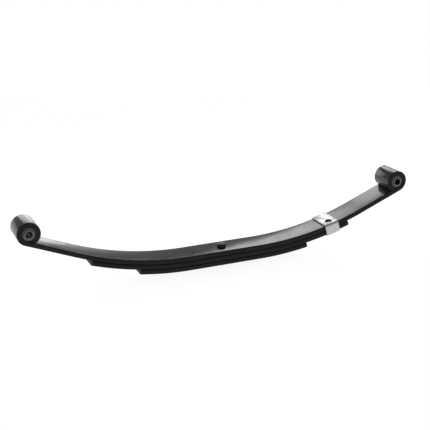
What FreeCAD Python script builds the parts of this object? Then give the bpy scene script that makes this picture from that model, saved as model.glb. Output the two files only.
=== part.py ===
"""Three-leaf double-eye suspension spring with its centre bolt, rebound clip and eye bushings.

Frame: millimetres, +Z up.  The origin is where the centre-bolt axis meets the top face of
the main leaf, which is the face that the axle pad rests on.  X runs along the spring, with
the rebound clip on the +X arm, and Y runs across the leaves.
"""
import FreeCAD, Part
import math
import os

import Sketcher

DIMENSIONS = [
    ("eye_span", 641.35, "between the eye centres along X"),
    ("leaf_width", 44.45, "across every leaf"),
    ("leaf_thickness", 8.2, "of every leaf"),
    ("edge_radius", 2.0, "round along the long edges of a leaf"),
    ("seat_half_length", 62.0, "of the flat middle, from the bolt to the start of the bend"),
    ("bend_radius", 500.0, "of the top face of the main leaf"),
    ("bend_angle", 22.0, "that each arm turns up through, degrees"),
    ("eye_radius", 10.3, "of the bore that the main leaf is rolled around"),
    ("eye_wrap", 325.0, "angle that the inside of the rolled eye covers, degrees"),
    ("eye_gap", 0.4, "from the rolled end's outer corner to the arm that it closes on"),
    ("second_half_length", 228.6, "of the second leaf, along its top face"),
    ("third_half_length", 148.0, "of the third leaf, along its top face"),
    ("bolt_hole", 8.7, "diameter of the hole through the leaves"),
    ("bolt_diameter", 7.94, "of the centre bolt"),
    ("bolt_head", 14.3, "diameter of the round head that locates the axle pad"),
    ("bolt_head_height", 5.5, "above the main leaf"),
    ("bolt_chamfer", 0.8, "at both ends of the bolt"),
    ("bolt_overhang", 1.4, "thread showing below the nut"),
    ("nut_flats", 12.7, "across the flats of the centre-bolt nut"),
    ("nut_height", 6.75, "of the centre-bolt nut"),
    ("thread_gap", 0.05, "between the bolt and the nut, on the radius"),
    ("clip_station", 195.0, "distance of the clip from the bolt, along the main leaf"),
    ("clip_width", 25.4, "of the strap, along the spring"),
    ("clip_strip", 2.0, "thickness of the strap"),
    ("clip_side_gap", 0.35, "between the strap and the leaf edges"),
    ("clip_top_gap", 0.4, "between the strap and the top of the main leaf"),
    ("clip_rest_gap", 0.05, "paint between the strap and the second leaf"),
    ("clip_bend", 2.4, "inner radius of the strap's corners"),
    ("clip_seam", 0.6, "gap between the two folded ends"),
    ("clip_seam_offset", 12.0, "of the seam from the middle, towards -Y"),
    ("notch_length", 10.5, "of the oval opening at the seam, along the spring"),
    ("notch_width", 13.0, "of the oval opening at the seam, across the spring"),
    ("rivet_diameter", 6.0, "of the rivet that holds the strap"),
    ("rivet_head", 11.0, "diameter of the head under the strap"),
    ("rivet_head_height", 2.8, "below the strap"),
    ("rivet_head_round", 2.2, "radius that rounds the head"),
    ("rivet_fit", 0.1, "between the rivet and its holes, on the radius"),
    ("rivet_sink", 1.6, "depth of the countersunk end in the second leaf"),
    ("rivet_flush_gap", 0.1, "from the countersunk end up to the main leaf"),
    ("bushing_fit", 0.05, "between bushing and eye, and bushing and sleeve, on the radius"),
    ("bushing_recess", 0.6, "of each bushing end inside the leaf edge"),
    ("bushing_chamfer", 0.8, "on the bushing's end edges"),
    ("sleeve_radius", 7.15, "outside of the steel sleeve"),
    ("sleeve_bore", 5.65, "radius of the bolt hole through the sleeve"),
    ("sleeve_overhang", 0.8, "of each sleeve end past the leaf edge"),
    ("sleeve_chamfer", 0.4, "on the sleeve's end edges"),
]

EYE_DROP = "dims.eye_radius * sin(dims.bend_angle)"
BEND_REACH = "(dims.seat_half_length + dims.bend_radius * sin(dims.bend_angle))"
ARM_RUN = f"(dims.eye_span / 2 - {BEND_REACH} + {EYE_DROP})"
EYE_HEIGHT = (
    "dims.bend_radius * (1 - cos(dims.bend_angle))"
    f" + {ARM_RUN} * tan(dims.bend_angle) + dims.eye_radius * cos(dims.bend_angle)"
)
CLIP_ANGLE = "((dims.clip_station - dims.seat_half_length) / dims.bend_radius * 180 / pi)"
CLIP_X = f"dims.seat_half_length + dims.bend_radius * sin({CLIP_ANGLE})"
CLIP_Z = f"dims.bend_radius * (1 - cos({CLIP_ANGLE}))"
CLIP_FLOOR = "(2 * dims.leaf_thickness + dims.clip_rest_gap)"
RIVET_SHANK = "(dims.rivet_diameter / 2)"
RIVET_TOP = "(-dims.leaf_thickness - dims.rivet_flush_gap)"
HEX_CORNER = "(dims.nut_flats / sqrt(3))"
PACK_DEPTH = "3 * dims.leaf_thickness"

START, END, CENTRE = 1, 2, 3
ORIGIN = (-1, 1)
HORIZONTAL_AXIS = -1
VERTICAL_AXIS = -2
DOWN = -math.pi / 2
SKETCH_NORMAL = FreeCAD.Vector(0, 0, 1)

doc = FreeCAD.newDocument("leaf_spring")


# ---------------------------------------------------------------- sheet, bodies and sketches


def make_sheet():
    """Put every driving dimension in a named cell of the sheet."""
    sheet = doc.addObject("Spreadsheet::Sheet", "dims")
    for row, (alias, number, note) in enumerate(DIMENSIONS, start=1):
        sheet.set(f"A{row}", alias)
        sheet.set(f"B{row}", str(number))
        sheet.setAlias(f"B{row}", alias)
        sheet.set(f"C{row}", note)
    doc.recompute()


def value(expression):
    """Return what an expression on the sheet's cells comes to."""
    return float(doc.dims.evalExpression(expression))


def new_body(name):
    """Start the body of one piece; its label names the file."""
    body = doc.addObject("PartDesign::Body", name)
    body.Label = name
    return body


def origin_plane(body, role):
    """Return one of the body's own origin planes or axes."""
    return next(feature for feature in body.Origin.OriginFeatures if feature.Role == role)


def new_sketch(body, name, role="XZ_Plane"):
    """Start a sketch on one of the body's origin planes."""
    sketch = body.newObject("Sketcher::SketchObject", name)
    sketch.AttachmentSupport = [(origin_plane(body, role), "")]
    sketch.MapMode = "FlatFace"
    return sketch


def dimension(sketch, kind, references, expression):
    """Add a dimension to a sketch and bind it to the sheet."""
    size = value(expression)
    if kind == "Angle":
        size = math.radians(size)
    index = sketch.addConstraint(Sketcher.Constraint(kind, *references, size))
    sketch.setExpression(f"Constraints[{index}]", expression)


def relate(sketch, kind, *references):
    """Add a geometric constraint to a sketch."""
    sketch.addConstraint(Sketcher.Constraint(kind, *references))


def add_line(sketch, start, end):
    """Add a line between two (x, y) points and return its index."""
    return sketch.addGeometry(Part.LineSegment(point(*start), point(*end)))


def add_arc(sketch, centre, radius, first, last):
    """Add a circular arc, anticlockwise between two angles, and return its index."""
    circle = Part.Circle(point(*centre), SKETCH_NORMAL, radius)
    return sketch.addGeometry(Part.ArcOfCircle(circle, first, last))


def point(x, y):
    """Return a point in a sketch's plane."""
    return FreeCAD.Vector(x, y, 0)


def polar(centre, radius, angle):
    """Return the (x, y) of a point on a circle."""
    return centre[0] + radius * math.cos(angle), centre[1] + radius * math.sin(angle)


def pin_vertex(sketch, vertex, x, y):
    """Hold one vertex at the coordinates that two expressions give."""
    for kind, axis, expression in (("DistanceX", VERTICAL_AXIS, x), ("DistanceY", HORIZONTAL_AXIS, y)):
        if abs(value(expression)) < 1e-9:
            relate(sketch, "PointOnObject", *vertex, axis)
        else:
            dimension(sketch, kind, (*ORIGIN, *vertex), expression)


def closed_profile(sketch, vertices):
    """Draw a closed outline of straight lines through (x, y) pairs of expressions."""
    points = [(value(x), value(y)) for x, y in vertices]
    lines = [add_line(sketch, a, b) for a, b in zip(points, points[1:] + points[:1])]
    for line, following in zip(lines, lines[1:] + lines[:1]):
        relate(sketch, "Coincident", line, END, following, START)
    for line, (x, y) in zip(lines, vertices):
        pin_vertex(sketch, (line, START), x, y)


def rectangle(sketch, left, right, bottom, top):
    """Draw an upright rectangle between four expressions."""
    closed_profile(sketch, [(left, bottom), (right, bottom), (right, top), (left, top)])


def circle(sketch, radius):
    """Draw a circle about the sketch's origin."""
    index = sketch.addGeometry(Part.Circle(point(0, 0), SKETCH_NORMAL, value(radius)))
    relate(sketch, "Coincident", index, CENTRE, *ORIGIN)
    dimension(sketch, "Radius", (index,), radius)


# ------------------------------------------------------------------------------- features


def pad_across(body, sketch, name, length):
    """Extrude a sketch the same way to both sides of its plane."""
    pad = body.newObject("PartDesign::Pad", name)
    pad.Profile = sketch
    pad.SideType = "Symmetric"
    pad.setExpression("Length", length)
    return pad


def pocket_through(body, sketch, name, length):
    """Cut a sketch through the body, to both sides of its plane."""
    pocket = body.newObject("PartDesign::Pocket", name)
    pocket.Profile = sketch
    pocket.SideType = "Symmetric"
    pocket.setExpression("Length", length)
    return pocket


def turn(body, sketch, name, kind="Revolution"):
    """Turn a sketch a full circle about its own vertical axis."""
    feature = body.newObject(f"PartDesign::{kind}", name)
    feature.Profile = sketch
    feature.ReferenceAxis = (sketch, ["V_Axis"])
    feature.Angle = 360
    return feature


def dress(body, base, kind, name, edges, size):
    """Fillet or chamfer some edges of the body's last feature."""
    feature = body.newObject(f"PartDesign::{kind}", name)
    feature.Base = (base, edges)
    feature.setExpression("Radius" if kind == "Fillet" else "Size", size)
    return feature


def edges_where(shape, test):
    """Name the edges of a shape that pass a test."""
    return [f"Edge{n}" for n, edge in enumerate(shape.Edges, start=1) if test(edge)]


def place(body, x, z, angle="0"):
    """Stand a body at (x, z), tilted up towards +X by an angle in degrees."""
    body.Placement = FreeCAD.Placement(
        FreeCAD.Vector(value(x), 0, value(z)),
        FreeCAD.Rotation(FreeCAD.Vector(0, -1, 0), value(angle)),
    )
    body.setExpression("Placement.Base.x", x)
    body.setExpression("Placement.Base.z", z)
    if angle != "0":
        body.setExpression("Placement.Rotation.Angle", angle)


# --------------------------------------------------------------------------------- leaves


def main_leaf_outline(sketch):
    """Draw the +X half of the main leaf: flat seat, bend, straight arm and rolled eye."""
    seat = value("dims.seat_half_length")
    thickness = value("dims.leaf_thickness")
    radius = value("dims.bend_radius")
    eye = value("dims.eye_radius")
    rise = DOWN + math.radians(value("dims.bend_angle"))
    inner_tip = rise + math.radians(value("dims.eye_wrap"))
    closing = value("acos((dims.eye_radius - dims.eye_gap) / (dims.eye_radius + dims.leaf_thickness))")
    outer_tip = rise + math.radians(360 - closing)
    bend_centre = (seat, radius)
    eye_centre = (value("dims.eye_span / 2"), value(EYE_HEIGHT))

    seat_under = add_line(sketch, (0, -thickness), (seat, -thickness))
    bend_under = add_arc(sketch, bend_centre, radius + thickness, DOWN, rise)
    arm_under = add_line(
        sketch,
        polar(bend_centre, radius + thickness, rise),
        polar(eye_centre, eye + thickness, rise),
    )
    eye_outside = add_arc(sketch, eye_centre, eye + thickness, rise, outer_tip)
    tip_face = add_line(
        sketch,
        polar(eye_centre, eye + thickness, outer_tip),
        polar(eye_centre, eye, inner_tip),
    )
    eye_inside = add_arc(sketch, eye_centre, eye, rise, inner_tip)
    arm_top = add_line(sketch, polar(eye_centre, eye, rise), polar(bend_centre, radius, rise))
    bend_top = add_arc(sketch, bend_centre, radius, DOWN, rise)
    seat_top = add_line(sketch, (seat, 0), (0, 0))
    middle = add_line(sketch, (0, 0), (0, -thickness))

    relate(sketch, "Tangent", seat_under, END, bend_under, START)
    relate(sketch, "Tangent", bend_under, END, arm_under, START)
    relate(sketch, "Tangent", arm_under, END, eye_outside, START)
    relate(sketch, "Coincident", eye_outside, END, tip_face, START)
    relate(sketch, "Coincident", tip_face, END, eye_inside, END)
    relate(sketch, "Tangent", eye_inside, START, arm_top, START)
    relate(sketch, "Tangent", arm_top, END, bend_top, END)
    relate(sketch, "Tangent", bend_top, START, seat_top, START)
    relate(sketch, "Coincident", seat_top, END, middle, START)
    relate(sketch, "Coincident", middle, END, seat_under, START)
    relate(sketch, "Coincident", bend_under, CENTRE, bend_top, CENTRE)
    relate(sketch, "Coincident", eye_outside, CENTRE, eye_inside, CENTRE)
    relate(sketch, "Coincident", seat_top, END, *ORIGIN)
    relate(sketch, "PointOnObject", seat_under, START, VERTICAL_AXIS)
    relate(sketch, "Horizontal", seat_under)
    relate(sketch, "Horizontal", seat_top)
    relate(sketch, "Parallel", arm_under, arm_top)
    dimension(sketch, "DistanceY", (seat_under, START, seat_top, END), "dims.leaf_thickness")
    dimension(sketch, "DistanceX", (*ORIGIN, bend_top, CENTRE), "dims.seat_half_length")
    dimension(sketch, "Radius", (bend_top,), "dims.bend_radius")
    dimension(sketch, "Angle", (bend_top,), "dims.bend_angle")
    dimension(sketch, "Radius", (eye_inside,), "dims.eye_radius")
    dimension(sketch, "DistanceX", (*ORIGIN, eye_inside, CENTRE), "dims.eye_span / 2")
    dimension(sketch, "Angle", (eye_inside,), "dims.eye_wrap")
    dimension(sketch, "Distance", (eye_outside, END, arm_top), "dims.eye_gap")


def lower_leaf_outline(sketch, above, half_length):
    """Draw the +X half of a leaf that has a number of leaves above it."""
    depth = f"({above} * dims.leaf_thickness)"
    top_radius = f"(dims.bend_radius + {depth})"
    sweep = f"(({half_length} - dims.seat_half_length) / {top_radius} * 180 / pi)"
    seat = value("dims.seat_half_length")
    thickness = value("dims.leaf_thickness")
    radius = value(top_radius)
    top = -value(depth)
    centre = (seat, top + radius)
    last = DOWN + math.radians(value(sweep))

    seat_under = add_line(sketch, (0, top - thickness), (seat, top - thickness))
    bend_under = add_arc(sketch, centre, radius + thickness, DOWN, last)
    end_face = add_line(sketch, polar(centre, radius + thickness, last), polar(centre, radius, last))
    bend_top = add_arc(sketch, centre, radius, DOWN, last)
    seat_top = add_line(sketch, (seat, top), (0, top))
    middle = add_line(sketch, (0, top), (0, top - thickness))

    relate(sketch, "Tangent", seat_under, END, bend_under, START)
    relate(sketch, "Coincident", bend_under, END, end_face, START)
    relate(sketch, "Coincident", end_face, END, bend_top, END)
    relate(sketch, "Tangent", bend_top, START, seat_top, START)
    relate(sketch, "Coincident", seat_top, END, middle, START)
    relate(sketch, "Coincident", middle, END, seat_under, START)
    relate(sketch, "Coincident", bend_under, CENTRE, bend_top, CENTRE)
    relate(sketch, "PointOnObject", bend_top, CENTRE, end_face)
    relate(sketch, "PointOnObject", seat_under, START, VERTICAL_AXIS)
    relate(sketch, "PointOnObject", seat_top, END, VERTICAL_AXIS)
    relate(sketch, "Horizontal", seat_under)
    relate(sketch, "Horizontal", seat_top)
    dimension(sketch, "DistanceY", (*ORIGIN, seat_top, END), f"-{depth}")
    dimension(sketch, "DistanceY", (seat_under, START, seat_top, END), "dims.leaf_thickness")
    dimension(sketch, "DistanceX", (*ORIGIN, bend_top, CENTRE), "dims.seat_half_length")
    dimension(sketch, "Radius", (bend_top,), top_radius)
    dimension(sketch, "Angle", (bend_top,), sweep)


def leaf(name, draw_outline, *arguments):
    """Make a leaf: half an outline, mirrored, with rounded long edges and the bolt hole."""
    body = new_body(name)
    outline = new_sketch(body, f"{name}_outline")
    draw_outline(outline, *arguments)
    half = pad_across(body, outline, f"{name}_half", "dims.leaf_width")
    doc.recompute()

    whole = body.newObject("PartDesign::Mirrored", f"{name}_whole")
    whole.Originals = [half]
    whole.MirrorPlane = (origin_plane(body, "YZ_Plane"), [""])
    body.Tip = whole
    doc.recompute()

    side = value("dims.leaf_width / 2")
    end_edge = 1.5 * value("dims.leaf_thickness")

    def is_long_edge(edge):
        on_side = abs(edge.BoundBox.YLength) < 1e-6 and abs(abs(edge.BoundBox.YMax) - side) < 1e-6
        return on_side and edge.Length > end_edge

    edges = edges_where(whole.Shape, is_long_edge)
    dress(body, whole, "Fillet", f"{name}_edges", edges, "dims.edge_radius")
    doc.recompute()

    hole = new_sketch(body, f"{name}_hole_outline", "XY_Plane")
    circle(hole, "dims.bolt_hole / 2")
    pocket_through(body, hole, f"{name}_hole", f"3 * {PACK_DEPTH}")
    return body


def cut_rivet_hole(body):
    """Sink the clip rivet's hole into the second leaf, square to its surface."""
    hole = new_sketch(body, "rivet_hole_outline")
    hole.AttachmentOffset = FreeCAD.Placement(
        point(value(CLIP_X), value(CLIP_Z)),
        FreeCAD.Rotation(SKETCH_NORMAL, value(CLIP_ANGLE)),
    )
    hole.setExpression("AttachmentOffset.Base.x", CLIP_X)
    hole.setExpression("AttachmentOffset.Base.y", CLIP_Z)
    hole.setExpression("AttachmentOffset.Rotation.Angle", CLIP_ANGLE)
    wall = f"({RIVET_SHANK} + dims.rivet_fit)"
    closed_profile(
        hole,
        [
            ("0", f"-{CLIP_FLOOR}"),
            (wall, f"-{CLIP_FLOOR}"),
            (wall, f"{RIVET_TOP} - dims.rivet_sink"),
            (f"{wall} + 2 * dims.rivet_sink", f"{RIVET_TOP} + dims.rivet_sink"),
            ("0", f"{RIVET_TOP} + dims.rivet_sink"),
        ],
    )
    turn(body, hole, "rivet_hole", "Groove")


# ----------------------------------------------------------------- centre bolt and its nut


def centre_bolt():
    """Turn the centre bolt: round locating head on the main leaf, shank down to the nut."""
    body = new_body("centre_bolt")
    profile = new_sketch(body, "bolt_profile")
    head = "dims.bolt_head / 2"
    shank = "dims.bolt_diameter / 2"
    foot = f"-({PACK_DEPTH} + dims.nut_height + dims.bolt_overhang)"
    closed_profile(
        profile,
        [
            ("0", foot),
            (f"{shank} - dims.bolt_chamfer", foot),
            (shank, f"{foot} + dims.bolt_chamfer"),
            (shank, "0"),
            (head, "0"),
            (head, "dims.bolt_head_height - dims.bolt_chamfer"),
            (f"{head} - dims.bolt_chamfer", "dims.bolt_head_height"),
            ("0", "dims.bolt_head_height"),
        ],
    )
    turn(body, profile, "bolt_turned")
    return body


def centre_bolt_nut():
    """Make the hexagon nut that clamps the leaves, with its lower corners turned off."""
    body = new_body("centre_bolt_nut")
    place(body, "0", f"-({PACK_DEPTH} + dims.nut_height)")
    outline = new_sketch(body, "nut_hexagon", "XY_Plane")
    corners = [60 * step for step in range(6)]
    closed_profile(outline, [(f"{HEX_CORNER} * cos({a})", f"{HEX_CORNER} * sin({a})") for a in corners])
    blank = body.newObject("PartDesign::Pad", "nut_blank")
    blank.Profile = outline
    blank.setExpression("Length", "dims.nut_height")
    doc.recompute()

    bore = new_sketch(body, "nut_bore_outline", "XY_Plane")
    circle(bore, "dims.bolt_diameter / 2 + dims.thread_gap")
    pocket_through(body, bore, "nut_bore", "4 * dims.nut_height")
    doc.recompute()

    corner = new_sketch(body, "nut_corner_profile")
    flat = "dims.nut_flats / 2"
    closed_profile(
        corner,
        [(flat, "0"), (HEX_CORNER, "0"), (HEX_CORNER, f"({HEX_CORNER} - {flat}) * tan(30)")],
    )
    turn(body, corner, "nut_corners", "Groove")
    return body


# ------------------------------------------------------------------- rebound clip and rivet


def rebound_clip():
    """Fold the strap that ties the main leaf to the second leaf on the +X arm."""
    body = new_body("rebound_clip")
    place(body, CLIP_X, CLIP_Z, CLIP_ANGLE)
    inner = "(dims.leaf_width / 2 + dims.clip_side_gap)"
    outer = f"({inner} + dims.clip_strip)"
    section = new_sketch(body, "strap_section", "YZ_Plane")
    strap_low = f"-{CLIP_FLOOR} - dims.clip_strip"
    rectangle(section, f"-{outer}", outer, strap_low, "dims.clip_top_gap + dims.clip_strip")
    rectangle(section, f"-{inner}", inner, f"-{CLIP_FLOOR}", "dims.clip_top_gap")
    strap = pad_across(body, section, "strap", "dims.clip_width")
    doc.recompute()

    bent = round_corners(body, strap, "strap_inner_bends", inner, "dims.clip_bend")
    round_corners(body, bent, "strap_outer_bends", outer, "dims.clip_bend + dims.clip_strip")

    seam = new_sketch(body, "seam_outline", "YZ_Plane")
    rectangle(
        seam,
        "-dims.clip_seam_offset - dims.clip_seam / 2",
        "-dims.clip_seam_offset + dims.clip_seam / 2",
        "0",
        "2 * (dims.clip_top_gap + dims.clip_strip)",
    )
    pocket_through(body, seam, "seam", "2 * dims.clip_width")
    doc.recompute()

    notch = new_sketch(body, "notch_outline", "XY_Plane")
    notch_oval(notch)
    opening = body.newObject("PartDesign::Pocket", "notch")
    opening.Profile = notch
    opening.Reversed = True
    opening.setExpression("Length", "2 * (dims.clip_top_gap + dims.clip_strip)")
    doc.recompute()

    hole = new_sketch(body, "strap_rivet_outline", "XY_Plane")
    circle(hole, "dims.rivet_diameter / 2 + dims.rivet_fit")
    drilled = body.newObject("PartDesign::Pocket", "strap_rivet_hole")
    drilled.Profile = hole
    drilled.setExpression("Length", f"2 * {CLIP_FLOOR}")
    return body


def round_corners(body, base, name, reach, radius):
    """Round the edges that run along the strap at one distance from its middle."""
    side = value(reach)

    def is_corner(edge):
        box = edge.BoundBox
        return box.YLength < 1e-6 and box.ZLength < 1e-6 and abs(abs(box.YMax) - side) < 1e-6

    rounded = dress(body, base, "Fillet", name, edges_where(base.Shape, is_corner), radius)
    doc.recompute()
    return rounded


def notch_oval(sketch):
    """Draw the oval opening between the strap's two folded ends."""
    middle = -value("dims.clip_seam_offset")
    radius = value("dims.notch_length / 2")
    reach = value("(dims.notch_width - dims.notch_length) / 2")
    far = add_arc(sketch, (0, middle + reach), radius, 0, math.pi)
    near = add_arc(sketch, (0, middle - reach), radius, math.pi, 2 * math.pi)
    left = add_line(sketch, (-radius, middle + reach), (-radius, middle - reach))
    right = add_line(sketch, (radius, middle - reach), (radius, middle + reach))
    relate(sketch, "Tangent", far, END, left, START)
    relate(sketch, "Tangent", left, END, near, START)
    relate(sketch, "Tangent", near, END, right, START)
    relate(sketch, "Tangent", right, END, far, START)
    relate(sketch, "Equal", far, near)
    relate(sketch, "PointOnObject", far, CENTRE, VERTICAL_AXIS)
    relate(sketch, "PointOnObject", near, CENTRE, VERTICAL_AXIS)
    dimension(sketch, "Radius", (far,), "dims.notch_length / 2")
    dimension(sketch, "DistanceY", (near, CENTRE, far, CENTRE), "dims.notch_width - dims.notch_length")
    dimension(
        sketch,
        "DistanceY",
        (*ORIGIN, far, CENTRE),
        "(dims.notch_width - dims.notch_length) / 2 - dims.clip_seam_offset",
    )


def clip_rivet():
    """Turn the rivet that holds the strap to the second leaf, with its end countersunk."""
    body = new_body("clip_rivet")
    place(body, CLIP_X, CLIP_Z, CLIP_ANGLE)
    profile = new_sketch(body, "rivet_profile")
    head = "dims.rivet_head / 2"
    strap = f"-{CLIP_FLOOR} - dims.clip_strip"
    closed_profile(
        profile,
        [
            ("0", f"{strap} - dims.rivet_head_height"),
            (head, f"{strap} - dims.rivet_head_height"),
            (head, strap),
            (RIVET_SHANK, strap),
            (RIVET_SHANK, f"{RIVET_TOP} - dims.rivet_sink"),
            (f"{RIVET_SHANK} + dims.rivet_sink", RIVET_TOP),
            ("0", RIVET_TOP),
        ],
    )
    turned = turn(body, profile, "rivet_turned")
    doc.recompute()
    rim = value(f"{strap} - dims.rivet_head_height")

    def is_rim(edge):
        box = edge.BoundBox
        return abs(box.ZMax - rim) < 1e-6 and box.YLength > 1

    rims = edges_where(turned.Shape, is_rim)
    dress(body, turned, "Fillet", "rivet_dome", rims, "dims.rivet_head_round")
    return body


# -------------------------------------------------------------------------- eye bushings


def eye_tube(name, side, outer, inner, length, chamfer):
    """Make a tube that lies across the spring in the eye at one side, +1 or -1."""
    body = new_body(name)
    place(body, f"{side} * dims.eye_span / 2", EYE_HEIGHT)
    ring = new_sketch(body, f"{name}_ring")
    circle(ring, outer)
    circle(ring, inner)
    tube = pad_across(body, ring, f"{name}_tube", length)
    doc.recompute()
    edges = edges_where(tube.Shape, lambda edge: edge.BoundBox.YLength < 1e-6)
    dress(body, tube, "Chamfer", f"{name}_edges", edges, chamfer)
    return body


def eye_bushing(end, side):
    """Make the moulded bushing that fills an eye."""
    return eye_tube(
        f"{end}_eye_bushing",
        side,
        "dims.eye_radius - dims.bushing_fit",
        "dims.sleeve_radius + dims.bushing_fit",
        "dims.leaf_width - 2 * dims.bushing_recess",
        "dims.bushing_chamfer",
    )


def eye_sleeve(end, side):
    """Make the steel sleeve that the hanger bolt clamps."""
    return eye_tube(
        f"{end}_bushing_sleeve",
        side,
        "dims.sleeve_radius",
        "dims.sleeve_bore",
        "dims.leaf_width + 2 * dims.sleeve_overhang",
        "dims.sleeve_chamfer",
    )


# --------------------------------------------------------------------- build, check, write


def build_bodies():
    """Make every piece and return the list of bodies."""
    bodies = [leaf("main_leaf", main_leaf_outline)]
    second = leaf("second_leaf", lower_leaf_outline, 1, "dims.second_half_length")
    doc.recompute()
    cut_rivet_hole(second)
    bodies.append(second)
    bodies.append(leaf("third_leaf", lower_leaf_outline, 2, "dims.third_half_length"))
    bodies.append(centre_bolt())
    bodies.append(centre_bolt_nut())
    bodies.append(rebound_clip())
    bodies.append(clip_rivet())
    for end, side in (("front", -1), ("rear", 1)):
        bodies.append(eye_bushing(end, side))
        bodies.append(eye_sleeve(end, side))
    doc.recompute()
    return bodies


def check_document(bodies):
    """Stop if a feature failed, a sketch is loose, a cut removed nothing or a piece is bad."""
    for item in doc.Objects:
        if "Invalid" in item.State or "Error" in item.State:
            raise RuntimeError(f"{item.Name} failed: {item.State}")
        if item.TypeId == "Sketcher::SketchObject" and not item.FullyConstrained:
            raise RuntimeError(f"{item.Name} isn't fully constrained")
        if item.TypeId in ("PartDesign::Pocket", "PartDesign::Groove"):
            removed = item.BaseFeature.Shape.Volume - item.Shape.Volume
            if removed < 1:
                raise RuntimeError(f"{item.Name} removed only {removed:.3f} mm3")
    for body in bodies:
        shape = body.Shape
        if shape.isNull() or not shape.isValid() or len(shape.Solids) != 1:
            raise RuntimeError(f"{body.Label} isn't one valid solid")


def write_parts(bodies):
    """Write one STEP file per piece and print its size."""
    os.makedirs("parts", exist_ok=True)
    for body in bodies:
        body.Shape.exportStep(f"parts/{body.Label}.step")
        box = body.Shape.BoundBox
        print(f"{body.Label:22s} {box.XLength:8.2f} {box.YLength:7.2f} {box.ZLength:7.2f}"
              f"  volume {body.Shape.Volume:10.1f}")


make_sheet()
pieces = build_bodies()
check_document(pieces)
write_parts(pieces)
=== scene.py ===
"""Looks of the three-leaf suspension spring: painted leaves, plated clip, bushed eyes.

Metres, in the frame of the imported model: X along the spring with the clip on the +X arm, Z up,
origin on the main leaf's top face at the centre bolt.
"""

import math

import bmesh
import bpy
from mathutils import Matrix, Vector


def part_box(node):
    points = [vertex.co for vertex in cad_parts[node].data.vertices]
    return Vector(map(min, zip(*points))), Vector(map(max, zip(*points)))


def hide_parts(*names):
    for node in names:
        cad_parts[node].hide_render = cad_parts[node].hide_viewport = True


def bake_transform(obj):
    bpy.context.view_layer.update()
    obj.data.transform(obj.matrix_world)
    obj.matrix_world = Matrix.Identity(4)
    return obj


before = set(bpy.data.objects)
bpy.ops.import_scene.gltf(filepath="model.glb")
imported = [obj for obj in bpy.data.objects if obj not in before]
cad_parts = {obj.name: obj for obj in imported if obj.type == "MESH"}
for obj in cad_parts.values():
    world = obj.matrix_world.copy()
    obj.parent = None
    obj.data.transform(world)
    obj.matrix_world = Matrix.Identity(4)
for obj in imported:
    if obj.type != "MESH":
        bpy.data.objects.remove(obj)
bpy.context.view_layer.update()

# ---------------------------------------------------------------- driving dimensions, metres

MAIN_LOW, MAIN_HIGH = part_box("main_leaf")
LEAF_WIDTH = MAIN_HIGH.y - MAIN_LOW.y
LEAF_THICKNESS = -MAIN_LOW.z
SEAT_HALF_LENGTH = 0.062
BEND_RADIUS = 0.5
BEND_ANGLE = math.radians(22)
EYE_RADIUS = 0.0103
EYE_WRAP_INSIDE = math.radians(325)
EYE_WRAP_OUTSIDE = math.radians(302.4)
EYE_X = MAIN_HIGH.x - EYE_RADIUS - LEAF_THICKNESS
SECOND_HALF_LENGTH = 0.2286
THIRD_HALF_LENGTH = 0.148
SLEEVE_HALF_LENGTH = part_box("front_bushing_sleeve")[1].y
EDGE_RADIUS = 0.002
END_ROUND = 0.0007

# straight length of an arm, then how far along the top face its eye starts to roll
ARM_LENGTH = (
    EYE_X
    - SEAT_HALF_LENGTH
    - BEND_RADIUS * math.sin(BEND_ANGLE)
    + EYE_RADIUS * math.sin(BEND_ANGLE)
) / math.cos(BEND_ANGLE)
EYE_START = SEAT_HALF_LENGTH + BEND_RADIUS * BEND_ANGLE + ARM_LENGTH

# how finely the leaves are skinned
STEP_ALONG = 0.003
STEPS_IN_EYE = 60
STEPS_IN_CORNER = 6
STEPS_IN_END = 3

# a face whose normal is at least this much along Y is on a leaf's narrow edge
SIDE_FACING = 0.75

# bevels of the pieces that come from the CAD, and how near their faces' corners are to be joined
SOFT_EDGE = 0.0002
CLIP_SOFT_EDGE = 0.0003
WELD_DISTANCE = 1e-6

# ------------------------------------------------------------------------------ studio values

CAMERA_PLACE = (-0.61321, -1.38727, 0.60043)
CAMERA_YAW = 0.40929
CAMERA_PITCH = 0.34558
CAMERA_LENS = 83.03
FLOOR_GAP = 0.001
FLOOR_SIZE = 12
GLOW_TOP = math.radians(10)
HORIZON_STRENGTH = 1.0
SKY_STRENGTH = 0.35


# --------------------------------------------------------------------------- shader helpers


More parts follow.
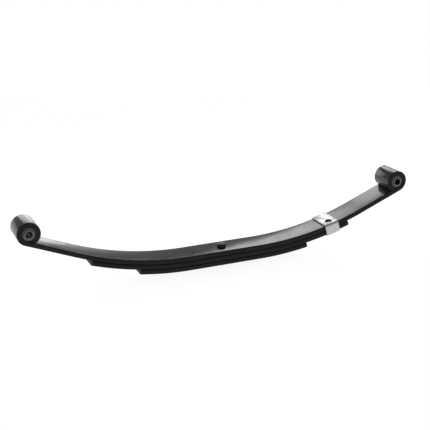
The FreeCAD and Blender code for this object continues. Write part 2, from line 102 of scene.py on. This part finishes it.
class Shader:
    """A Principled material whose nodes are added by name."""

    def __init__(self, name, **sockets):
        self.material = bpy.data.materials.new(name)
        self.material.use_nodes = True
        self.tree = self.material.node_tree
        self.principled = self.tree.nodes["Principled BSDF"]
        for socket, number in sockets.items():
            self.principled.inputs[socket.replace("_", " ")].default_value = number
        self.position = self.tree.nodes.new("ShaderNodeTexCoord").outputs["Object"]

    def link(self, source, target):
        """Join an output socket to an input socket."""
        self.tree.links.new(source, target)

    def noise(self, scale, detail=3.0, stretch=(1, 1, 1)):
        """Return a 3D noise factor; stretch scales the coordinates along each axis."""
        mapping = self.tree.nodes.new("ShaderNodeMapping")
        mapping.inputs["Scale"].default_value = stretch
        self.link(self.position, mapping.inputs["Vector"])
        texture = self.tree.nodes.new("ShaderNodeTexNoise")
        texture.inputs["Scale"].default_value = scale
        texture.inputs["Detail"].default_value = detail
        self.link(mapping.outputs["Vector"], texture.inputs["Vector"])
        return texture.outputs["Fac"]

    def spread(self, factor, low, high, start=0.3, end=0.7):
        """Map a factor between start and end to numbers between low and high."""
        node = self.tree.nodes.new("ShaderNodeMapRange")
        node.inputs["From Min"].default_value = start
        node.inputs["From Max"].default_value = end
        node.inputs["To Min"].default_value = low
        node.inputs["To Max"].default_value = high
        self.link(factor, node.inputs["Value"])
        return node.outputs["Result"]

    def ramp(self, factor, *stops):
        """Map a factor through (position, colour) stops."""
        node = self.tree.nodes.new("ShaderNodeValToRGB")
        elements = node.color_ramp.elements
        while len(elements) < len(stops):
            elements.new(0.5)
        for element, (place, colour) in zip(elements, stops):
            element.position = place
            element.color = (*colour, 1)
        self.link(factor, node.inputs["Fac"])
        return node.outputs["Color"]

    def beyond_y(self, limit):
        """Return 1 where a point is farther from the middle plane than a limit, else 0."""
        split = self.tree.nodes.new("ShaderNodeSeparateXYZ")
        self.link(self.position, split.inputs["Vector"])
        size = self.tree.nodes.new("ShaderNodeMath")
        size.operation = "ABSOLUTE"
        self.link(split.outputs["Y"], size.inputs[0])
        return self.spread(size.outputs["Value"], 0, 1, limit, limit + 0.0002)

    def blend(self, factor, first, second):
        """Mix two colours by a factor."""
        node = self.tree.nodes.new("ShaderNodeMixRGB")
        self.link(factor, node.inputs["Fac"])
        self.link(first, node.inputs["Color1"])
        self.link(second, node.inputs["Color2"])
        return node.outputs["Color"]

    def bump(self, *layers):
        """Stack bump layers, each (height factor, strength, distance in metres)."""
        normal = None
        for height, strength, distance in layers:
            node = self.tree.nodes.new("ShaderNodeBump")
            node.inputs["Strength"].default_value = strength
            node.inputs["Distance"].default_value = distance
            self.link(height, node.inputs["Height"])
            if normal:
                self.link(normal, node.inputs["Normal"])
            normal = node.outputs["Normal"]
        self.link(normal, self.principled.inputs["Normal"])

    def feed(self, socket, source):
        """Link a source to one of the Principled inputs."""
        self.link(source, self.principled.inputs[socket])


# -------------------------------------------------------------------------------- materials


def leaf_paint():
    """Gloss black enamel over rolled spring steel: orange peel, thin haze, faint scale."""
    shader = Shader("leaf_paint", IOR=1.5)
    haze = shader.noise(28, detail=5)
    scale = shader.noise(90, detail=4, stretch=(0.3, 1, 1))
    waves = shader.noise(14, detail=1)
    peel = shader.noise(650, detail=1)
    tint = shader.ramp(haze, (0.3, (0.005, 0.005, 0.0055)), (0.75, (0.011, 0.011, 0.0115)))
    shader.feed("Base Color", tint)
    shader.feed("Roughness", shader.spread(scale, 0.14, 0.24))
    shader.bump((waves, 0.1, 0.002), (scale, 0.06, 0.0002), (peel, 0.04, 0.00006))
    return shader.material


def edge_paint():
    """The same enamel, thin and dull over the rolled edges and sheared ends."""
    shader = Shader("edge_paint", IOR=1.5, Specular_IOR_Level=0.12)
    drag = shader.noise(160, detail=4, stretch=(0.15, 1, 1))
    pits = shader.noise(700, detail=2)
    tint = shader.ramp(drag, (0.3, (0.007, 0.007, 0.0075)), (0.75, (0.015, 0.015, 0.0155)))
    shader.feed("Base Color", tint)
    shader.feed("Roughness", shader.spread(drag, 0.38, 0.55))
    shader.bump((drag, 0.15, 0.0003), (pits, 0.15, 0.0001))
    return shader.material


def zinc_plate():
    """Bright zinc over sheared strip: spangle and roller lines."""
    shader = Shader("zinc_plate", Metallic=1.0)
    spangle = shader.noise(240, detail=2)
    rolling = shader.noise(160, detail=4, stretch=(1, 0.06, 1))
    tint = shader.ramp(spangle, (0.3, (0.46, 0.465, 0.47)), (0.7, (0.53, 0.535, 0.54)))
    shader.feed("Base Color", tint)
    shader.feed("Roughness", shader.spread(rolling, 0.3, 0.45))
    shader.bump((rolling, 0.08, 0.0001), (spangle, 0.05, 0.0001))
    return shader.material


def bolt_black():
    """Thin black paint over a forged and turned bolt."""
    shader = Shader("bolt_black", IOR=1.5)
    grain = shader.noise(420, detail=3)
    runs = shader.noise(70, detail=3)
    tint = shader.ramp(runs, (0.3, (0.008, 0.008, 0.0085)), (0.75, (0.02, 0.02, 0.021)))
    shader.feed("Base Color", tint)
    shader.feed("Roughness", shader.spread(grain, 0.24, 0.42))
    shader.bump((grain, 0.15, 0.0002))
    return shader.material


def bushing_rubber():
    """Moulded dark-grey rubber: fine mould texture, greyer bloom in patches."""
    shader = Shader("bushing_rubber")
    bloom = shader.noise(60, detail=4)
    mould = shader.noise(900, detail=2)
    tint = shader.ramp(bloom, (0.3, (0.06, 0.06, 0.061)), (0.7, (0.11, 0.11, 0.112)))
    shader.feed("Base Color", tint)
    shader.feed("Roughness", shader.spread(mould, 0.5, 0.72))
    shader.bump((mould, 0.2, 0.00012))
    return shader.material


def sleeve_steel():
    """Drawn steel tube: dull faced ends, and an inside painted near-black as painted shade for the
    deep hole.
    """
    shader = Shader("sleeve_steel", Metallic=1.0)
    drawing = shader.noise(500, detail=3, stretch=(1, 0.05, 1))
    stain = shader.noise(140, detail=3)
    ends = shader.ramp(stain, (0.35, (0.17, 0.17, 0.173)), (0.7, (0.27, 0.27, 0.275)))
    # painted shade: the tube's inside gets a near-black colour that stands in for the shadow deep
    # in the hole; only the end faces keep the steel colour
    bore_painted_shade = shader.ramp(stain, (0.35, (0.012, 0.012, 0.012)), (0.7, (0.03, 0.03, 0.03)))
    at_end = shader.beyond_y(SLEEVE_HALF_LENGTH - 0.0006)
    shader.feed("Base Color", shader.blend(at_end, bore_painted_shade, ends))
    shader.feed("Roughness", shader.spread(drawing, 0.35, 0.55))
    shader.bump((drawing, 0.15, 0.0001))
    return shader.material


# ------------------------------------------------------------------------------ mesh helpers


def new_piece(name, mesh, material):
    """Add a mesh to the scene as a piece that takes the given finish."""
    piece = bpy.data.objects.new(name, mesh)
    bpy.context.scene.collection.objects.link(piece)
    mesh.materials.clear()
    mesh.materials.append(material)
    for polygon in mesh.polygons:
        polygon.use_smooth = True
    return piece


def loft(name, rings):
    """Skin a mesh over closed rings of points and cap the last one."""
    mesh = bmesh.new()
    rows = [[mesh.verts.new(place) for place in ring] for ring in rings]
    for row, following in zip(rows, rows[1:]):
        for i, corner in enumerate(row):
            beside = (i + 1) % len(row)
            mesh.faces.new((corner, row[beside], following[beside], following[i]))
    mesh.faces.new(rows[-1])
    bmesh.ops.recalc_face_normals(mesh, faces=mesh.faces)
    data = bpy.data.meshes.new(name)
    mesh.to_mesh(data)
    mesh.free()
    return data


# ------------------------------------------------------------------------------------ leaves


def leaf_path(distance, eye_closing=1.0):
    """Return (x, z, slope) of the main leaf's top face at a distance from the bolt.

    eye_closing scales how far round the eye a given distance reaches.
    """
    arc = BEND_RADIUS * BEND_ANGLE
    if distance <= SEAT_HALF_LENGTH:
        return distance, 0.0, 0.0
    if distance <= SEAT_HALF_LENGTH + arc:
        slope = (distance - SEAT_HALF_LENGTH) / BEND_RADIUS
        return (
            SEAT_HALF_LENGTH + BEND_RADIUS * math.sin(slope),
            BEND_RADIUS * (1 - math.cos(slope)),
            slope,
        )
    along = min(distance - SEAT_HALF_LENGTH - arc, ARM_LENGTH)
    x = SEAT_HALF_LENGTH + BEND_RADIUS * math.sin(BEND_ANGLE) + along * math.cos(BEND_ANGLE)
    z = BEND_RADIUS * (1 - math.cos(BEND_ANGLE)) + along * math.sin(BEND_ANGLE)
    turned = (distance - SEAT_HALF_LENGTH - arc - along) / EYE_RADIUS * eye_closing
    centre_x = x - EYE_RADIUS * math.sin(BEND_ANGLE)
    centre_z = z + EYE_RADIUS * math.cos(BEND_ANGLE)
    slope = BEND_ANGLE + turned
    if turned > 0:
        x = centre_x + EYE_RADIUS * math.sin(slope)
        z = centre_z - EYE_RADIUS * math.cos(slope)
    return x, z, slope


def section(inset):
    """Return the (across, depth) outline of a leaf, smaller all round by an inset."""
    half = LEAF_WIDTH / 2 - inset
    low = LEAF_THICKNESS - inset
    radius = EDGE_RADIUS - inset * 0.5
    corners = [
        (half - radius, inset + radius, -90),
        (half - radius, low - radius, 0),
        (radius - half, low - radius, 90),
        (radius - half, inset + radius, 180),
    ]
    outline = []
    for across, depth, first in corners:
        for step in range(STEPS_IN_CORNER + 1):
            angle = math.radians(first + 90 / STEPS_IN_CORNER * step)
            outline.append((across + radius * math.cos(angle), depth + radius * math.sin(angle)))
    return outline


def leaf_ring(distance, depth, side, inset=0.0):
    """Return the ring of a leaf's surface at a distance, a depth below the main leaf's top."""
    ring = []
    for across, below in section(inset):
        share = below / LEAF_THICKNESS
        eye_closing = 1 + share * (EYE_WRAP_OUTSIDE / EYE_WRAP_INSIDE - 1)
        x, z, slope = leaf_path(distance, eye_closing)
        down = depth + below
        ring.append((side * (x + down * math.sin(slope)), across, z - down * math.cos(slope)))
    return ring


def stations(length, depth):
    """Return even distances along the path from the bolt to a short leaf's end."""
    stretch = (BEND_RADIUS + depth) / BEND_RADIUS
    end = SEAT_HALF_LENGTH + (length - SEAT_HALF_LENGTH) / stretch
    count = math.ceil(end / STEP_ALONG)
    return [end * i / count for i in range(count + 1)]


def half_leaf(name, side, distances, depth):
    """Skin half of a leaf out to its end, with the sheared end's edges broken.

    Distances run along the top face, which is shorter than the middle of the stock in an eye.
    """
    rings = [leaf_ring(distance, depth, side) for distance in distances]
    end = distances[-1]
    in_eye = end > EYE_START
    closer = END_ROUND * (EYE_RADIUS / (EYE_RADIUS + LEAF_THICKNESS / 2) if in_eye else 1)
    rings[-1] = leaf_ring(end - closer, depth, side)
    for step in range(1, STEPS_IN_END + 1):
        angle = math.radians(90 / STEPS_IN_END * step)
        place = end - closer * (1 - math.sin(angle))
        rings.append(leaf_ring(place, depth, side, END_ROUND * (1 - math.cos(angle))))
    return loft(name, rings)


def main_leaf_stations():
    """Return distances along the main leaf, through the bend, the arm and the eye."""
    count = math.ceil(EYE_START / STEP_ALONG)
    to_eye = [EYE_START * i / count for i in range(count)]
    roll = EYE_RADIUS * EYE_WRAP_INSIDE
    return to_eye + [EYE_START + roll * i / STEPS_IN_EYE for i in range(STEPS_IN_EYE + 1)]


def dull_edges(piece, material):
    """Give the narrow edges and the cut ends of a leaf their own paint."""
    piece.data.materials.append(material)
    for polygon in piece.data.polygons:
        is_end = len(polygon.vertices) > 4
        if is_end or abs(polygon.normal.y) > SIDE_FACING:
            polygon.material_index = 1


def build_leaves(material, edge_material):
    """Make both halves of every leaf in place of the CAD leaves."""
    leaves = (
        ("main_leaf", main_leaf_stations(), 0.0),
        ("second_leaf", stations(SECOND_HALF_LENGTH, LEAF_THICKNESS), LEAF_THICKNESS),
        ("third_leaf", stations(THIRD_HALF_LENGTH, 2 * LEAF_THICKNESS), 2 * LEAF_THICKNESS),
    )
    for node, distances, depth in leaves:
        for end, side in (("front", -1), ("rear", 1)):
            name = f"{node}_{end}_half"
            piece = new_piece(name, half_leaf(name, side, distances, depth), material)
            dull_edges(piece, edge_material)
            flex(piece)
            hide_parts(node)


def flex(piece):
    """Bake a piece's transform into its mesh."""
    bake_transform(piece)


# ------------------------------------------------------------------- pieces kept from the CAD


def soften(piece, width, segments=3):
    """Break a piece's sharp edges with a small bevel."""
    bevel = piece.modifiers.new("broken_edges", "BEVEL")
    bevel.width = width
    bevel.segments = segments
    bevel.limit_method = "ANGLE"
    bevel.angle_limit = math.radians(40)
    bevel.harden_normals = True


def weld_faces(data):
    """Join the CAD mesh's separate faces at their shared edges."""
    mesh = bmesh.new()
    mesh.from_mesh(data)
    bmesh.ops.remove_doubles(mesh, verts=mesh.verts, dist=WELD_DISTANCE)
    bmesh.ops.dissolve_limit(mesh, angle_limit=math.radians(1), verts=mesh.verts, edges=mesh.edges)
    mesh.to_mesh(data)
    mesh.free()


def finished_copy(node, name, material, width):
    """Copy a CAD node's mesh as a piece, with its sharp edges broken for good."""
    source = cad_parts[node]
    piece = new_piece(name, source.data.copy(), material)
    weld_faces(piece.data)
    soften(piece, width)
    graph = bpy.context.evaluated_depsgraph_get()
    piece.data = bpy.data.meshes.new_from_object(piece.evaluated_get(graph))
    piece.modifiers.clear()
    return piece


def build_clip(material):
    """Make the strap and its rivet, which sit on the rear arm."""
    clip = finished_copy("rebound_clip", "clip_strap", material, CLIP_SOFT_EDGE)
    rivet = finished_copy("clip_rivet", "clip_rivet_head", material, SOFT_EDGE)
    for piece, node in ((clip, "rebound_clip"), (rivet, "clip_rivet")):
        flex(piece)
        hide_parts(node)


def paint_node(node, material):
    """Give a shown CAD node its material and softened edges."""
    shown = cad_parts[node]
    shown.data.materials.clear()
    shown.data.materials.append(material)
    soften(shown, SOFT_EDGE)


# --------------------------------------------------------------------- floor, light, camera


def build_stage():
    """Lay a pale, softly glowing floor that fills the view."""
    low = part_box("centre_bolt")[0].z
    bpy.ops.mesh.primitive_plane_add(size=FLOOR_SIZE, location=(0, 0, low - FLOOR_GAP))
    floor = bpy.context.object
    floor.name = "floor"
    shader = Shader("floor_white", Emission_Strength=0.9)
    shader.principled.inputs["Base Color"].default_value = (0.25, 0.25, 0.25, 1)
    shader.principled.inputs["Emission Color"].default_value = (1, 1, 1, 1)
    grain = shader.noise(3, detail=2)
    shader.feed("Roughness", shader.spread(grain, 0.85, 0.95))
    floor.data.materials.append(shader.material)


def softbox(name, centre, roll, size, radiance):
    """Hang a rectangular softbox that faces the front of the spring."""
    data = bpy.data.lights.new(name, "AREA")
    data.shape = "RECTANGLE"
    data.size, data.size_y = size
    data.energy = 4 * data.size * data.size_y * radiance
    light = bpy.data.objects.new(name, data)
    light.location = centre
    light.rotation_euler = (-math.pi / 2, -roll, 0)
    light.visible_camera = False
    bpy.context.scene.collection.objects.link(light)


def build_light():
    """Fill the room with grey light, brighter at the horizon, with three softboxes behind."""
    world = bpy.data.worlds.new("room")
    bpy.context.scene.world = world
    world.use_nodes = True
    nodes, links = world.node_tree.nodes, world.node_tree.links
    direction = nodes.new("ShaderNodeTexCoord").outputs["Generated"]
    split = nodes.new("ShaderNodeSeparateXYZ")
    links.new(direction, split.inputs["Vector"])
    glow = nodes.new("ShaderNodeMapRange")
    glow.interpolation_type = "SMOOTHSTEP"
    glow.inputs["From Min"].default_value = 0
    glow.inputs["From Max"].default_value = math.sin(GLOW_TOP)
    glow.inputs["To Min"].default_value = HORIZON_STRENGTH
    glow.inputs["To Max"].default_value = SKY_STRENGTH
    links.new(split.outputs["Z"], glow.inputs["Value"])
    background = nodes["Background"]
    background.inputs["Color"].default_value = (1, 1, 1, 1)
    links.new(glow.outputs["Result"], background.inputs["Strength"])
    softbox("high_softbox", (0.68, 1.0, 0.81), math.radians(25), (0.6, 0.55), 2.75)
    softbox("low_left_softbox", (-0.105, 1.0, 0.35), 0, (0.55, 0.58), 1.75)
    softbox("low_right_softbox", (1.12, 1.0, 0.2), 0, (0.4, 0.3), 2.2)


def build_camera():
    """Stand the camera left of the spring and above it, on the fitted line of sight."""
    data = bpy.data.cameras.new("camera")
    data.sensor_width = 36
    data.lens = CAMERA_LENS
    data.clip_start = 0.05
    camera = bpy.data.objects.new("camera", data)
    camera.location = CAMERA_PLACE
    camera.rotation_euler = (math.pi / 2 - CAMERA_PITCH, 0, -CAMERA_YAW)
    bpy.context.scene.collection.objects.link(camera)
    bpy.context.scene.camera = camera
    bpy.context.scene.view_settings.view_transform = "Standard"


# ------------------------------------------------------------------------------------- build

build_camera()
build_leaves(leaf_paint(), edge_paint())
build_clip(zinc_plate())
for cad_node, finish in (
    ("centre_bolt", bolt_black()),
    ("centre_bolt_nut", bolt_black()),
    ("front_eye_bushing", bushing_rubber()),
    ("rear_eye_bushing", bushing_rubber()),
    ("front_bushing_sleeve", sleeve_steel()),
    ("rear_bushing_sleeve", sleeve_steel()),
):
    paint_node(cad_node, finish)
build_stage()
build_light()
